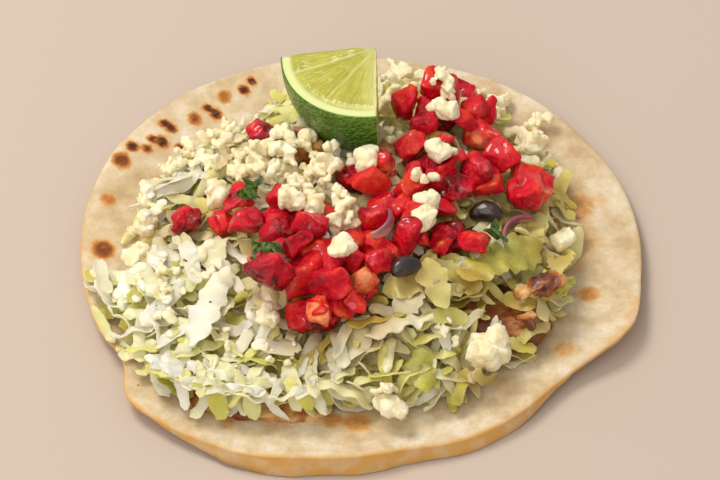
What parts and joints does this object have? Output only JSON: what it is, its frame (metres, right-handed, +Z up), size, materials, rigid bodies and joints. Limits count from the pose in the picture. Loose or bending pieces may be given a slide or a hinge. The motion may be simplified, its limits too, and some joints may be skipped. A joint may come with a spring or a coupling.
{
  "type": "taco",
  "caption": "Open soft taco: a flour tortilla carrying fried fish under shredded lettuce, topped with diced tomato, crumbled cheese, beans, onion and a wedge of lime.",
  "frame": {"origin": "on the surface that the taco rests on, under the middle of its outline", "axes": "+Z up through the thickness; +X and +Y lie on the resting surface, with the lime wedge towards +Y and the open front towards -Y"},
  "size_m": [0.1462, 0.1416, 0.043],
  "materials": {
    "flour_tortilla": "matt, pale cream with toasted brown spots",
    "fried_fish": "crisp golden brown crust, slightly oily",
    "lettuce": "moist, pale green to white",
    "tomato": "wet, red",
    "cheese": "matt, crumbly, cream white",
    "black_bean": "glossy, black",
    "red_onion": "moist, pale purple",
    "lime": "moist flesh, waxy green rind"
  },
  "bodies": {
    "root": {"tortilla": "flour_tortilla", "fish_strip_1": "fried_fish", "fish_strip_2": "fried_fish", "lettuce_heap": "lettuce", "fish_flake": "fried_fish", "lime_wedge": "lime", "tomato_01": "tomato", "tomato_02": "tomato", "tomato_03": "tomato", "tomato_04": "tomato", "tomato_05": "tomato", "tomato_06": "tomato", "tomato_07": "tomato", "tomato_08": "tomato", "tomato_09": "tomato", "tomato_10": "tomato", "tomato_11": "tomato", "tomato_12": "tomato", "tomato_13": "tomato", "tomato_14": "tomato", "tomato_15": "tomato", "tomato_16": "tomato", "tomato_17": "tomato", "tomato_18": "tomato", "tomato_19": "tomato", "tomato_20": "tomato", "tomato_21": "tomato", "black_bean_01": "black_bean", "black_bean_02": "black_bean", "red_onion_01": "red_onion", "red_onion_02": "red_onion", "cheese_01": "cheese", "cheese_02": "cheese", "cheese_03": "cheese", "cheese_04": "cheese", "cheese_05": "cheese", "cheese_06": "cheese", "cheese_07": "cheese", "cheese_08": "cheese", "cheese_09": "cheese", "cheese_10": "cheese", "cheese_11": "cheese", "cheese_12": "cheese", "cheese_13": "cheese", "cheese_14": "cheese", "cheese_15": "cheese", "cheese_16": "cheese", "cheese_17": "cheese", "cheese_18": "cheese", "cheese_19": "cheese", "cheese_20": "cheese", "cheese_21": "cheese", "cheese_22": "cheese", "cheese_23": "cheese"}
  },
  "joints": []
}
